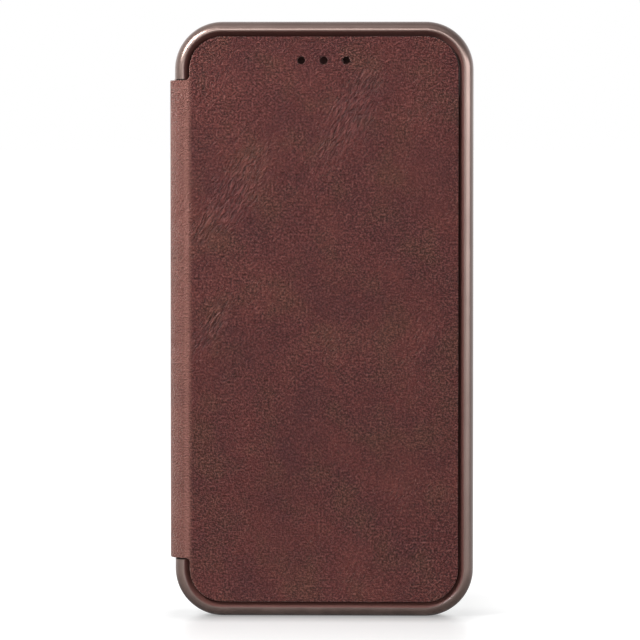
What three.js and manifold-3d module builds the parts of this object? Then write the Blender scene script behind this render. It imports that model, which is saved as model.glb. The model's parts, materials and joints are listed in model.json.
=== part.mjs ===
// A slim folio case for a 4.7 inch class phone: a moulded tray with a rounded, lacquered rim, a leather
// front cover that sits flush inside the rim, and a leather spine that folds round the left-hand side.
// The case stands on its bottom edge and looks towards -Y.
//
// Every piece is modelled in the case's own frame, in millimetres: x to the right, y up along the case and
// z from the back (0) to the front. The last lines turn that frame upright, with +Z up.

import * as THREE from "three";
import { mergeVertices } from "three/addons/utils/BufferGeometryUtils.js";
import Module from "manifold-3d";

const wasm = await Module();
wasm.setup();

// ---- Driving dimensions -------------------------------------------------------------------------------

const PHONE = { width: 67.1, height: 138.3, depth: 7.2 };
const WALL = 2.3; // side wall of the tray
const CORNER = 11.5; // outer corner radius of the rim
const LEATHER = 0.8;
const LINING = 0.35;
const FILM = 0.05; // glue film between bonded layers
const FLOOR = 1.2; // back plate of the tray
const GAP = 0.3; // between the cover and the rim, and beside the spine

const HALF_WIDTH = PHONE.width / 2 + WALL;
const HALF_HEIGHT = PHONE.height / 2 + WALL;

// Levels from the back face to the front face.
const TRAY_BACK = LEATHER + FILM;
const SEAT = TRAY_BACK + FLOOR;
const PHONE_MIDDLE = SEAT + PHONE.depth / 2;
const LIP_UNDER = SEAT + PHONE.depth + 0.1;
const FRONT = 12.0; // face of the cover and top of the rim's ridge
const LEATHER_UNDER = FRONT - LEATHER;
const BOARD_TOP = LEATHER_UNDER - FILM; // and the top of the lining where it meets the leather
const BOARD_UNDER = BOARD_TOP - 0.75;
const LINING_TOP = BOARD_UNDER - FILM;
const LINING_UNDER = LINING_TOP - LINING;
const POCKET_TOP = LINING_UNDER - FILM;
const POCKET_UNDER = POCKET_TOP - 0.45;

// Insets from the rim's outermost outline.
const LIP_INSET = 3.5;
const COVER_INSET = LIP_INSET + GAP;
const RECESS_INSET = 4.0; // recess in the tray's back that takes the leather
const LINING_INSET = 4.3;
const BOARD_INSET = 6.45;

// The spine: leather outside, lining inside, over the tray's left-hand wall.
const SPINE_HALF_LENGTH = 57.4;
const CHANNEL_HALF_LENGTH = SPINE_HALF_LENGTH + GAP;
const CHANNEL_EDGE = -31.5; // right-hand side of the channel that the spine lies in, x
const SPINE_FACE = -HALF_WIDTH - LEATHER - LINING - FILM; // outer face, x
const SHOULDER = { x: SPINE_FACE + 4.3, z: FRONT - 4.8, across: 4.3, deep: 4.8 }; // front bend
const HEEL = { x: SPINE_FACE + 3.8, z: 4.2, across: 3.8, deep: 4.2 }; // back bend
const BACK_FOLD_Z = 4.4; // fold line of the spine on the side wall
const FOLD_SLIT = 0.1; // half of the gap left in a fold line
const SHOULDER_SPLIT = THREE.MathUtils.degToRad(45); // fold line of the cover on the shoulder
const SHOULDER_SLIT = THREE.MathUtils.degToRad(1);
const NOTCH_RADIUS = 1.0; // inside corner between the cover's edge and the spine
const NOTCH_CENTRE = { x: -HALF_WIDTH + COVER_INSET - NOTCH_RADIUS, y: SPINE_HALF_LENGTH + NOTCH_RADIUS };

const SPEAKER_HOLES = { radius: 0.93, pitch: 5.38, y: HALF_HEIGHT - 9.33 };
const CAMERA = { x: 19.5, y: 60.3, length: 24, height: 12, collar: 1.2 };
const MAGNET = { width: 4, length: 14, thick: 0.6 };
const KEEPER = { width: 1.5, length: 20, thick: 0.5, inset: 1.6 };
const MAGNET_ROWS = { upper: 40, middle: 0, lower: -40 };
const POCKET = { halfWidth: 29.3, bottom: -64.8, top: 14, corner: 5, notch: 9 };

// ---- Geometry helpers ---------------------------------------------------------------------------------

const CORNER_STEPS = 9;
const ARC_STEPS = 7;
const SLOT_STEPS = 10;

// Turns a closed three.js geometry into a solid that can be cut and joined.
function solidOf(geometry) {
  const bare = geometry.index ? geometry.toNonIndexed() : geometry.clone();
  bare.deleteAttribute("normal");
  bare.deleteAttribute("uv");
  const merged = mergeVertices(bare, 1e-4);
  const mesh = new wasm.Mesh({
    numProp: 3,
    vertProperties: merged.attributes.position.array,
    triVerts: merged.index.array,
  });
  return new wasm.Manifold(mesh);
}

// Turns a solid back into a named three.js mesh.
function piece(name, solid, material) {
  const mesh = solid.getMesh();
  const geometry = new THREE.BufferGeometry();
  geometry.setAttribute("position", new THREE.BufferAttribute(mesh.vertProperties, 3));
  geometry.setIndex(new THREE.BufferAttribute(mesh.triVerts, 1));
  geometry.computeVertexNormals();
  const made = new THREE.Mesh(geometry, material);
  made.name = name;
  return made;
}

// The case's rounded rectangle, moved inwards by an inset, as a ring of points.
function outline(inset) {
  const shape = new THREE.Shape();
  const x = HALF_WIDTH - inset;
  const y = HALF_HEIGHT - inset;
  const radius = CORNER - inset;
  shape.absarc(x - radius, y - radius, radius, 0, Math.PI / 2);
  shape.absarc(-x + radius, y - radius, radius, Math.PI / 2, Math.PI);
  shape.absarc(-x + radius, -y + radius, radius, Math.PI, 1.5 * Math.PI);
  shape.absarc(x - radius, -y + radius, radius, 1.5 * Math.PI, 2 * Math.PI);
  return shape.getPoints(CORNER_STEPS);
}

// A closed solid swept round the case: each ring is [inset, z], and the first and last ring are capped.
function loft(rings) {
  const points = rings.map(([inset, z]) => outline(inset).map((p) => new THREE.Vector3(p.x, p.y, z)));
  const count = points[0].length;
  const position = points.flat().flatMap((p) => [p.x, p.y, p.z]);
  const index = [];
  for (let ring = 0; ring < rings.length - 1; ring++) {
    for (let i = 0; i < count; i++) {
      const a = ring * count + i;
      const b = ring * count + ((i + 1) % count);
      index.push(a, b, b + count, a, b + count, a + count);
    }
  }
  const last = (rings.length - 1) * count;
  for (let i = 1; i < count - 1; i++) {
    index.push(0, i + 1, i);
    index.push(last, last + i, last + i + 1);
  }
  const geometry = new THREE.BufferGeometry();
  geometry.setAttribute("position", new THREE.Float32BufferAttribute(position, 3));
  geometry.setIndex(index);
  return solidOf(geometry);
}

// A plan shape (x, y) between two z levels.
function plate(shape, low, high) {
  const settings = { depth: high - low, bevelEnabled: false, curveSegments: SLOT_STEPS };
  return solidOf(new THREE.ExtrudeGeometry(shape, settings).translate(0, 0, low));
}

// A section (x, z) run along y, between -half and +half.
const SECTION_TO_Y = new THREE.Matrix4().set(1, 0, 0, 0, 0, 0, -1, 0, 0, 1, 0, 0, 0, 0, 0, 1);
function strip(points, half) {
  const shape = new THREE.Shape(points.map(([x, z]) => new THREE.Vector2(x, z)));
  const geometry = new THREE.ExtrudeGeometry(shape, { depth: 2 * half, bevelEnabled: false });
  return solidOf(geometry.applyMatrix4(SECTION_TO_Y).translate(0, half, 0));
}

function box(low, high) {
  const size = high.map((value, i) => value - low[i]);
  const middle = high.map((value, i) => (value + low[i]) / 2);
  return solidOf(new THREE.BoxGeometry(...size).translate(...middle));
}

// A slot shape with round ends, along its first axis.
function slotShape(length, height) {
  const radius = height / 2;
  const reach = length / 2 - radius;
  const shape = new THREE.Shape();
  shape.absarc(reach, 0, radius, -Math.PI / 2, Math.PI / 2);
  shape.absarc(-reach, 0, radius, Math.PI / 2, 1.5 * Math.PI);
  return shape;
}

const CUT = 8; // long enough to run right through a wall
function slotThroughEnd(x, length, height) {
  const geometry = new THREE.ExtrudeGeometry(slotShape(length, height), {
    depth: CUT,
    bevelEnabled: false,
    curveSegments: SLOT_STEPS,
  });
  return solidOf(geometry.applyMatrix4(SECTION_TO_Y).translate(x, -HALF_HEIGHT + CUT / 2, PHONE_MIDDLE));
}

const SECTION_TO_X = new THREE.Matrix4().set(0, 0, 1, 0, 1, 0, 0, 0, 0, 1, 0, 0, 0, 0, 0, 1);
function slotThroughSide(y, length, height) {
  const geometry = new THREE.ExtrudeGeometry(slotShape(length, height), {
    depth: CUT,
    bevelEnabled: false,
    curveSegments: SLOT_STEPS,
  });
  return solidOf(geometry.applyMatrix4(SECTION_TO_X).translate(HALF_WIDTH - CUT / 2, y, PHONE_MIDDLE));
}

// Points along an elliptical bend of the spine. The angle is 0 at the side and 90 degrees at the flat face;
// "face" is +1 for the front shoulder and -1 for the back heel, and "under" is the depth below the leather.
function bend(centre, face, under, from, to) {
  const points = [];
  for (let i = 0; i <= ARC_STEPS; i++) {
    const t = from + ((to - from) * i) / ARC_STEPS;
    const x = centre.x - (centre.across - under) * Math.cos(t);
    const z = centre.z + face * (centre.deep - under) * Math.sin(t);
    points.push([x, z]);
  }
  return points;
}

// ---- Materials ----------------------------------------------------------------------------------------

const plain = (color, roughness, metalness = 0) => new THREE.MeshStandardMaterial({ color, roughness, metalness });
const brownLeather = plain(0x5f3835, 0.55);
const suede = plain(0x4a2c28, 0.95);
const bronzeLacquer = plain(0x7b5a4e, 0.3, 0.4);
const boardSheet = plain(0x2b2a2a, 0.7);
const nickel = plain(0xb9b6b0, 0.3, 1);
const steel = plain(0x8f9294, 0.35, 1);
const thread = plain(0x6d4740, 0.8);

// ---- Tray ---------------------------------------------------------------------------------------------

// Section of the tray's wall as [inset, z], from the recess in its back, round the rim and the retaining
// lip, down to the seat of the phone. The flat between heel and brow is what the case stands on.
function traySection() {
  const heel = { inset: 2.8, z: 3.0, low: 0.1 };
  const brow = { inset: 2.1, z: 8.4 };
  const rings = [[RECESS_INSET, TRAY_BACK], [RECESS_INSET - 0.1, 0.3]];
  for (let i = 0; i <= ARC_STEPS; i++) {
    const t = (Math.PI / 2) * (1 - i / ARC_STEPS);
    rings.push([heel.inset * (1 - Math.cos(t)), heel.z - (heel.z - heel.low) * Math.sin(t)]);
  }
  for (let i = 0; i <= ARC_STEPS; i++) {
    const t = (Math.PI / 2) * (i / ARC_STEPS);
    rings.push([brow.inset * (1 - Math.cos(t)), brow.z + (FRONT - brow.z) * Math.sin(t)]);
  }
  rings.push([2.35, FRONT - 0.07], [2.6, FRONT - 0.3]);
  rings.push([LIP_INSET - 0.05, 10.5], [LIP_INSET, 10.3], [LIP_INSET, LIP_UNDER]);
  rings.push([WALL, LIP_UNDER], [WALL, SEAT]);
  return rings;
}

// The low wall under the spine: a bonding land for the leather, then a plain wall with a rounded top.
function wallUnderSpine() {
  const inner = -HALF_WIDTH + WALL;
  const wallTop = 8.7;
  const wallFace = -HALF_WIDTH + 0.15;
  const top = { across: 2.0, deep: 2.1 };
  const section = [[CHANNEL_EDGE, SEAT], [CHANNEL_EDGE, TRAY_BACK]];
  section.push(...bend(HEEL, -1, LEATHER + FILM, Math.PI / 2, 0));
  section.push([SPINE_FACE + LEATHER + FILM, BACK_FOLD_Z - FOLD_SLIT]);
  section.push([wallFace, BACK_FOLD_Z - FOLD_SLIT]);
  for (let i = 0; i <= ARC_STEPS; i++) {
    const t = (Math.PI / 2) * (i / ARC_STEPS);
    const x = wallFace + top.across * (1 - Math.cos(t));
    section.push([x, wallTop - top.deep * (1 - Math.sin(t))]);
  }
  section.push([inner, wallTop], [inner, SEAT]);
  return strip(section, CHANNEL_HALF_LENGTH);
}

// Rounds the inner corner of one cut end of the rim, at the top (side = 1) or the bottom (side = -1).
function rimEndRounding(side) {
  const radius = NOTCH_RADIUS - GAP;
  const shape = new THREE.Shape();
  shape.absarc(NOTCH_CENTRE.x, NOTCH_CENTRE.y, radius, 0, -Math.PI / 2, true);
  shape.lineTo(NOTCH_CENTRE.x, NOTCH_CENTRE.y - radius - 0.2);
  shape.lineTo(NOTCH_CENTRE.x + radius + 0.2, NOTCH_CENTRE.y - radius - 0.2);
  shape.lineTo(NOTCH_CENTRE.x + radius + 0.2, NOTCH_CENTRE.y);
  const cut = plate(shape, LIP_UNDER, FRONT + 1);
  return side > 0 ? cut : cut.mirror([0, 1, 0]);
}

function cameraShape(margin) {
  const shape = slotShape(CAMERA.length + 2 * margin, CAMERA.height + 2 * margin);
  const points = shape.getPoints(SLOT_STEPS).map((p) => new THREE.Vector2(p.x + CAMERA.x, p.y + CAMERA.y));
  return new THREE.Shape(points);
}

// Pocket under the lip for one steel keeper, with room all round it.
function keeperPocket(y) {
  const room = 0.1;
  const outer = HALF_WIDTH - KEEPER.inset + room;
  const inner = outer - KEEPER.width - 2 * room;
  const half = KEEPER.length / 2 + room;
  return box([inner, y - half, LIP_UNDER - 0.05], [outer, y + half, LIP_UNDER + KEEPER.thick + 0.25]);
}

function phoneTray() {
  const volumeKeys = { low: 18, high: 52, sill: 3.6 };
  let tray = loft(traySection());
  tray = tray.subtract(box([-40, -CHANNEL_HALF_LENGTH, -1], [CHANNEL_EDGE, CHANNEL_HALF_LENGTH, FRONT + 1]));
  tray = tray.add(wallUnderSpine());
  tray = tray.subtract(rimEndRounding(1)).subtract(rimEndRounding(-1));
  tray = tray.add(plate(cameraShape(CAMERA.collar), 0, SEAT - 0.1));
  const openings = [
    plate(cameraShape(0), -1, SEAT + 1),
    slotThroughEnd(0, 12.5, 6), // charging port
    slotThroughEnd(20, 15, 5), // loudspeaker
    slotThroughEnd(-20, 12, 5), // microphone
    slotThroughSide(36, 15, 5), // side key
    box([-40, volumeKeys.low, volumeKeys.sill], [-HALF_WIDTH + WALL + 0.5, volumeKeys.high, FRONT]),
    ...Object.values(MAGNET_ROWS).map(keeperPocket),
  ];
  return openings.reduce((solid, opening) => solid.subtract(opening), tray);
}

function keeper(y) {
  const outer = HALF_WIDTH - KEEPER.inset;
  const low = LIP_UNDER + 0.1;
  const half = KEEPER.length / 2;
  return box([outer - KEEPER.width, y - half, low], [outer, y + half, low + KEEPER.thick]);
}

// ---- Leather ------------------------------------------------------------------------------------------

// Back panel, carried round the heel of the spine and bonded to the tray's side up to the back fold.
function backLeather() {
  const panel = loft([[RECESS_INSET + 0.35, 0], [RECESS_INSET + 0.15, 0.12], [RECESS_INSET + 0.15, LEATHER]]);
  const section = [[-30, LEATHER], ...bend(HEEL, -1, LEATHER, Math.PI / 2, 0)];
  section.push([SPINE_FACE + LEATHER, BACK_FOLD_Z - FOLD_SLIT], [SPINE_FACE, BACK_FOLD_Z - FOLD_SLIT]);
  section.push(...bend(HEEL, -1, 0, 0, Math.PI / 2), [-30, 0]);
  const heel = strip(section, SPINE_HALF_LENGTH);
  return panel.add(heel).subtract(plate(cameraShape(CAMERA.collar + 0.15), -1, LEATHER + 1));
}

// One layer of the free spine, from the back fold to the fold line on the shoulder.
function spineLayer(outerDepth, innerDepth) {
  const low = BACK_FOLD_Z + FOLD_SLIT;
  const end = SHOULDER_SPLIT - SHOULDER_SLIT;
  const section = [[SPINE_FACE + outerDepth, low], ...bend(SHOULDER, 1, outerDepth, 0, end)];
  section.push(...bend(SHOULDER, 1, innerDepth, end, 0), [SPINE_FACE + innerDepth, low]);
  return strip(section, SPINE_HALF_LENGTH);
}

// The same layer beyond the fold line, where it belongs to the cover, as far as x = reach.
function shoulderLayer(outerDepth, innerDepth, reach) {
  const start = SHOULDER_SPLIT + SHOULDER_SLIT;
  const section = [...bend(SHOULDER, 1, outerDepth, start, Math.PI / 2), [reach, FRONT - outerDepth]];
  section.push([reach, FRONT - innerDepth], ...bend(SHOULDER, 1, innerDepth, Math.PI / 2, start));
  return strip(section, SPINE_HALF_LENGTH);
}

// Leather web that fills the inside corner between the cover's edge and the spine.
function notchWeb(side) {
  const { x, y } = NOTCH_CENTRE;
  const shape = new THREE.Shape();
  shape.absarc(x, y, NOTCH_RADIUS, 0, -Math.PI / 2, true);
  shape.lineTo(x, SPINE_HALF_LENGTH - 0.5);
  shape.lineTo(x + NOTCH_RADIUS + 0.5, SPINE_HALF_LENGTH - 0.5);
  shape.lineTo(x + NOTCH_RADIUS + 0.5, y);
  const web = plate(shape, LEATHER_UNDER, FRONT);
  return side > 0 ? web : web.mirror([0, 1, 0]);
}

function speakerHoles() {
  const holes = [-1, 0, 1].map((column) => {
    const cylinder = new THREE.CylinderGeometry(SPEAKER_HOLES.radius, SPEAKER_HOLES.radius, CUT, 16);
    return solidOf(cylinder.rotateX(Math.PI / 2).translate(column * SPEAKER_HOLES.pitch, SPEAKER_HOLES.y, FRONT));
  });
  return holes[0].add(holes[1]).add(holes[2]);
}

function coverLeather() {
  const panel = loft([
    [COVER_INSET, LEATHER_UNDER],
    [COVER_INSET, FRONT - 0.25],
    [COVER_INSET + 0.08, FRONT - 0.08],
    [COVER_INSET + 0.25, FRONT],
  ]);
  const shoulder = shoulderLayer(0, LEATHER, -30);
  return panel.add(shoulder).add(notchWeb(1)).add(notchWeb(-1)).subtract(speakerHoles());
}

// ---- Inside of the cover ------------------------------------------------------------------------------

function magnetSpan(y, room) {
  const right = HALF_WIDTH - BOARD_INSET;
  const low = [right - MAGNET.width - room, y - MAGNET.length / 2 - room];
  const high = [right, y + MAGNET.length / 2 + room];
  return { low, high };
}

// Stiffener with a notch in its free edge for each magnet.
function coverBoard() {
  const sheet = loft([[BOARD_INSET, BOARD_UNDER], [BOARD_INSET, BOARD_TOP]]);
  const notches = Object.values(MAGNET_ROWS).map((y) => {
    const { low, high } = magnetSpan(y, 0.2);
    return box([...low, BOARD_UNDER - 1], [high[0] + 1, high[1], BOARD_TOP + 1]);
  });
  return notches.reduce((solid, notch) => solid.subtract(notch), sheet.subtract(speakerHoles()));
}

function coverMagnet(y) {
  const { low, high } = magnetSpan(y, 0);
  const middle = (BOARD_TOP + BOARD_UNDER) / 2;
  return box([...low, middle - MAGNET.thick / 2], [...high, middle + MAGNET.thick / 2]);
}

// Shallow pan that holds the board against the leather; its edge is bonded to the leather all round.
function coverLining() {
  const edgeUnder = BOARD_TOP - LINING;
  const pan = loft([
    [6.0, LINING_UNDER],
    [5.5, edgeUnder],
    [LINING_INSET, edgeUnder],
    [LINING_INSET, BOARD_TOP],
    [5.9, BOARD_TOP],
    [6.3, LINING_TOP],
  ]);
  const depth = LEATHER + FILM;
  const shoulder = shoulderLayer(depth, depth + LINING, -30.6);
  return pan.add(shoulder).subtract(speakerHoles());
}

// Card pocket: a flat panel open at its top edge, with a thumb notch.
function cardPocket() {
  const { halfWidth, bottom, top, corner, notch } = POCKET;
  const shape = new THREE.Shape();
  shape.absarc(0, top, notch, 0, Math.PI, true);
  shape.lineTo(-halfWidth, top);
  shape.absarc(-halfWidth + corner, bottom + corner, corner, Math.PI, 1.5 * Math.PI);
  shape.absarc(halfWidth - corner, bottom + corner, corner, 1.5 * Math.PI, 2 * Math.PI);
  shape.lineTo(halfWidth, top);
  return plate(shape, POCKET_UNDER, POCKET_TOP);
}

// Row of stitches round the three closed sides of the pocket, as one thin ribbon on its face.
function pocketThread() {
  const seam = 1.2;
  const halfWidth = 0.25;
  const { bottom, top, corner } = POCKET;
  const shape = new THREE.Shape();
  const side = POCKET.halfWidth - seam;
  const radius = corner - seam;
  const outer = radius + halfWidth;
  const inner = radius - halfWidth;
  const arcX = side - radius;
  const arcY = bottom + seam + radius;
  shape.absarc(arcX, arcY, outer, 0, -Math.PI / 2, true);
  shape.absarc(-arcX, arcY, outer, -Math.PI / 2, -Math.PI, true);
  shape.lineTo(-side - halfWidth, top - 1);
  shape.lineTo(-side + halfWidth, top - 1);
  shape.absarc(-arcX, arcY, inner, Math.PI, 1.5 * Math.PI);
  shape.absarc(arcX, arcY, inner, 1.5 * Math.PI, 2 * Math.PI);
  shape.lineTo(side - halfWidth, top - 1);
  shape.lineTo(side + halfWidth, top - 1);
  return plate(shape, POCKET_UNDER - 0.17, POCKET_UNDER - 0.02);
}

// ---- Assembly -----------------------------------------------------------------------------------------

const liningDepth = LEATHER + FILM;

const shell = new THREE.Group();
shell.add(piece("phone_tray", phoneTray(), bronzeLacquer));
shell.add(piece("back_leather", backLeather(), brownLeather));

const spine = new THREE.Group();
spine.add(piece("spine_leather", spineLayer(0, LEATHER), brownLeather));
spine.add(piece("spine_lining", spineLayer(liningDepth, liningDepth + LINING), suede));

const cover = new THREE.Group();
cover.add(piece("cover_leather", coverLeather(), brownLeather));
cover.add(piece("cover_board", coverBoard(), boardSheet));
cover.add(piece("cover_lining", coverLining(), suede));
cover.add(piece("card_pocket", cardPocket(), brownLeather));
cover.add(piece("pocket_thread", pocketThread(), thread));

for (const [row, y] of Object.entries(MAGNET_ROWS)) {
  shell.add(piece(`${row}_keeper`, keeper(y), steel));
  cover.add(piece(`${row}_magnet`, coverMagnet(y), nickel));
}

// Stand the case up, with the origin under the middle of its bounding box.
const folioCase = new THREE.Group();
folioCase.add(shell, spine, cover);
folioCase.rotation.x = Math.PI / 2;
folioCase.position.set(-(HALF_WIDTH + SPINE_FACE) / 2, FRONT / 2, HALF_HEIGHT);

const part = new THREE.Group();
part.add(folioCase);

export default part;
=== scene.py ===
"""A slim leather folio phone case, closed and standing on its bottom edge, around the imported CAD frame."""

import json
import math

import bmesh
import bpy
from mathutils import Matrix, Vector


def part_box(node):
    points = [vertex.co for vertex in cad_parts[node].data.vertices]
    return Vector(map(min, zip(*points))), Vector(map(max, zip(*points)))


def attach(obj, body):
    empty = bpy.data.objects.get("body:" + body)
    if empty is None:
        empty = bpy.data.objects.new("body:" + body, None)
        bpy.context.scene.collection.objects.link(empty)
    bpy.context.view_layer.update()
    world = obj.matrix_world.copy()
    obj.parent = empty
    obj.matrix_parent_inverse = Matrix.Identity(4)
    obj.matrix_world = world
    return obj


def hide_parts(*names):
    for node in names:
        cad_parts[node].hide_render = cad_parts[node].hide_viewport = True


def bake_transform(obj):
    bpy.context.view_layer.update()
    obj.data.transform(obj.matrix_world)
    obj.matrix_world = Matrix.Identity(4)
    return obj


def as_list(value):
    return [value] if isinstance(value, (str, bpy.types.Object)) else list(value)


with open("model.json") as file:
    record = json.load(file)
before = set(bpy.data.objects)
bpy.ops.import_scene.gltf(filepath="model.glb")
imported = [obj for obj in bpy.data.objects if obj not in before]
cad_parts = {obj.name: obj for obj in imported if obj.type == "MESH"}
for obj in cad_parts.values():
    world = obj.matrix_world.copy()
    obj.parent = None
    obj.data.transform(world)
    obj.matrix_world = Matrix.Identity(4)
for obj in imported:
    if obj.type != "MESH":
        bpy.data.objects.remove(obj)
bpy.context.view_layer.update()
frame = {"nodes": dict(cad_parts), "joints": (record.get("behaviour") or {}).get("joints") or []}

# ---- The case's own frame ----------------------------------------------------------------------------
# Every piece is made in millimetres in the case's own frame and then stood up in the row frame: x to the
# right of the cover's middle, y up from the middle of the case, z from the back face (0) to the front.

MM = 0.001
tray_low, tray_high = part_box("phone_tray")
pocket_low, pocket_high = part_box("card_pocket")
cover_low, cover_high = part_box("cover_leather")
spine_low, spine_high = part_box("spine_leather")
back_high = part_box("back_leather")[1]

MIDDLE = Vector(((pocket_low.x + pocket_high.x) / 2, back_high.y, (tray_low.z + tray_high.z) / 2))
STAND = Matrix.Translation(MIDDLE) @ Matrix(
    ((MM, 0, 0, 0), (0, 0, -MM, 0), (0, MM, 0, 0), (0, 0, 0, 1))
)

HALF_WIDTH = (tray_high.x - MIDDLE.x) / MM
HALF_HEIGHT = (tray_high.z - tray_low.z) / 2 / MM
FRONT = (MIDDLE.y - cover_low.y) / MM
SPINE_X = (spine_low.x - MIDDLE.x) / MM
SPINE_HALF = (spine_high.z - spine_low.z) / 2 / MM
COVER_EDGE = (cover_high.x - MIDDLE.x) / MM
CORNER = 11.5  # radius of the rim's corners
WALL = 2.3  # thickness of the rim beside the phone
LEATHER = 0.8
GLUE = 0.05
LINING = 0.35
BOARD = 0.75
GAP = HALF_WIDTH - COVER_EDGE - 3.5  # between the cover and the lip of the rim
SEAT = LEATHER + GLUE + 1.2  # level of the floor that the phone lies on
PHONE_DEPTH = 7.2
PHONE_MIDDLE = SEAT + PHONE_DEPTH / 2
LIP_UNDER = SEAT + PHONE_DEPTH + 0.1
COVER_INSET = HALF_WIDTH - COVER_EDGE  # from the rim's outline to the cover's edge
CHANNEL_HALF = SPINE_HALF + GAP  # half the length of the opening in the rim for the spine
CHANNEL_EDGE = -31.5  # how far in the opening goes
ROWS = ("upper", "middle", "lower")  # of magnets and keepers

joints = {joint["name"]: joint for joint in frame["joints"]}


def case_point(x, y, z):
    """A point of the case's own frame, in millimetres, as a point of the row frame, in metres."""
    return STAND @ Vector((x, y, z))


def fold_line(name):
    """x and z of a hinge's axis in the case's own frame."""
    point = STAND.inverted() @ Vector(joints[name]["pos_m"])
    return point.x, point.z


# ---- Mesh helpers ------------------------------------------------------------------------------------


def new_object(name, bm):
    """A mesh object made from a bmesh, with its faces turned outwards."""
    mesh = bpy.data.meshes.new(name)
    bmesh.ops.recalc_face_normals(bm, faces=bm.faces)
    if bm.calc_volume(signed=True) < 0:
        bmesh.ops.reverse_faces(bm, faces=bm.faces)
    bm.to_mesh(mesh)
    bm.free()
    obj = bpy.data.objects.new(name, mesh)
    bpy.context.scene.collection.objects.link(obj)
    return obj


def apply_modifiers(obj):
    """Replaces an object's mesh by what its modifiers make of it."""
    depsgraph = bpy.context.evaluated_depsgraph_get()
    mesh = bpy.data.meshes.new_from_object(obj.evaluated_get(depsgraph), depsgraph=depsgraph)
    obj.modifiers.clear()
    old = obj.data
    obj.data = mesh
    bpy.data.meshes.remove(old)


def combine(obj, other, operation):
    """Cuts another solid from obj, or joins it on, and deletes the other one."""
    modifier = obj.modifiers.new("boolean", "BOOLEAN")
    modifier.operation = operation
    modifier.solver = "MANIFOLD"
    modifier.object = other
    apply_modifiers(obj)
    bpy.data.objects.remove(other)


def stand_up(obj, crease=35):
    """Moves a finished mesh from the case's own frame to the row frame and shades it smoothly."""
    obj.data.transform(STAND)
    obj.data.materials.clear()
    for polygon in obj.data.polygons:
        polygon.material_index = 0
    obj.data.shade_smooth()
    obj.data.set_sharp_from_angle(angle=math.radians(crease))
    normals = obj.modifiers.new("normals", "WEIGHTED_NORMAL")
    normals.keep_sharp = True
    return obj


def bridge(bm, lower, upper):
    """A band of faces between two rings of the same number of vertices."""
    for i, vert in enumerate(lower):
        following = (i + 1) % len(lower)
        bm.faces.new((vert, lower[following], upper[following], upper[i]))


def arc(cx, cy, radius, start, end, steps):
    """Points on an arc, in degrees, both ends included."""
    angles = [math.radians(start + (end - start) * i / steps) for i in range(steps + 1)]
    return [(cx + radius * math.cos(a), cy + radius * math.sin(a)) for a in angles]


def rim_outline(inset, steps=24):
    """The rim's outline, a rounded rectangle, moved inwards."""
    x, y, radius = HALF_WIDTH - CORNER, HALF_HEIGHT - CORNER, CORNER - inset
    points = arc(x, y, radius, 0, 90, steps) + arc(-x, y, radius, 90, 180, steps)
    return points + arc(-x, -y, radius, 180, 270, steps) + arc(x, -y, radius, 270, 360, steps)


def slot(cx, cy, length, height, steps=14):
    """A slot with round ends along its first axis."""
    radius = height / 2
    reach = length / 2 - radius
    return arc(cx + reach, cy, radius, -90, 90, steps) + arc(cx - reach, cy, radius, 90, 270, steps)


def prism(name, points, low, high, axis="z"):
    """A closed solid with a flat outline, between two levels along an axis of the case."""
    place = {
        "z": lambda a, b, level: (a, b, level),
        "y": lambda a, b, level: (a, level, b),
        "x": lambda a, b, level: (level, a, b),
    }[axis]
    bm = bmesh.new()
    bottom = [bm.verts.new(place(a, b, low)) for a, b in points]
    top = [bm.verts.new(place(a, b, high)) for a, b in points]
    bm.faces.new(bottom)
    bm.faces.new(top)
    bridge(bm, bottom, top)
    return new_object(name, bm)


def lofted(name, rings):
    """A closed solid through rings of the same number of points, each with its own level."""
    bm = bmesh.new()
    loops = [[bm.verts.new((x, y, z)) for x, y in points] for points, z in rings]
    for lower, upper in zip(loops, loops[1:]):
        bridge(bm, lower, upper)
    bm.faces.new(loops[0])
    bm.faces.new(loops[-1])
    return new_object(name, bm)


def box(name, low, high):
    corners = [(low[0], low[1]), (high[0], low[1]), (high[0], high[1]), (low[0], high[1])]
    return prism(name, corners, low[2], high[2])


def swept(name, rings):
    """A closed solid swept round the case, from rings of (inset from the rim's outline, z)."""
    return lofted(name, [(rim_outline(inset), z) for inset, z in rings])


def inset_ring(points, distance):
    """A closed ring of points moved to its left, square to it, by a distance."""
    moved = []
    for i, (x, y) in enumerate(points):
        before, after = Vector(points[i - 1]), Vector(points[(i + 1) % len(points)])
        here = Vector((x, y))
        first, second = (here - before).normalized(), (after - here).normalized()
        normal = Vector((-first.y, first.x)) + Vector((-second.y, second.x))
        normal /= max(0.3, normal.dot(Vector((-first.y, first.x))))
        moved.append((x + normal.x * distance, y + normal.y * distance))
    return moved


def signed_area(points):
    """Area inside a closed ring, above 0 where its inside is on its left."""
    return sum(a[0] * b[1] - b[0] * a[1] for a, b in zip(points, points[1:] + points[:1])) / 2


def wound(points, left):
    """The ring in the direction that has its inside on the left, or on the right."""
    return points if (signed_area(points) > 0) == left else points[::-1]


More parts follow.
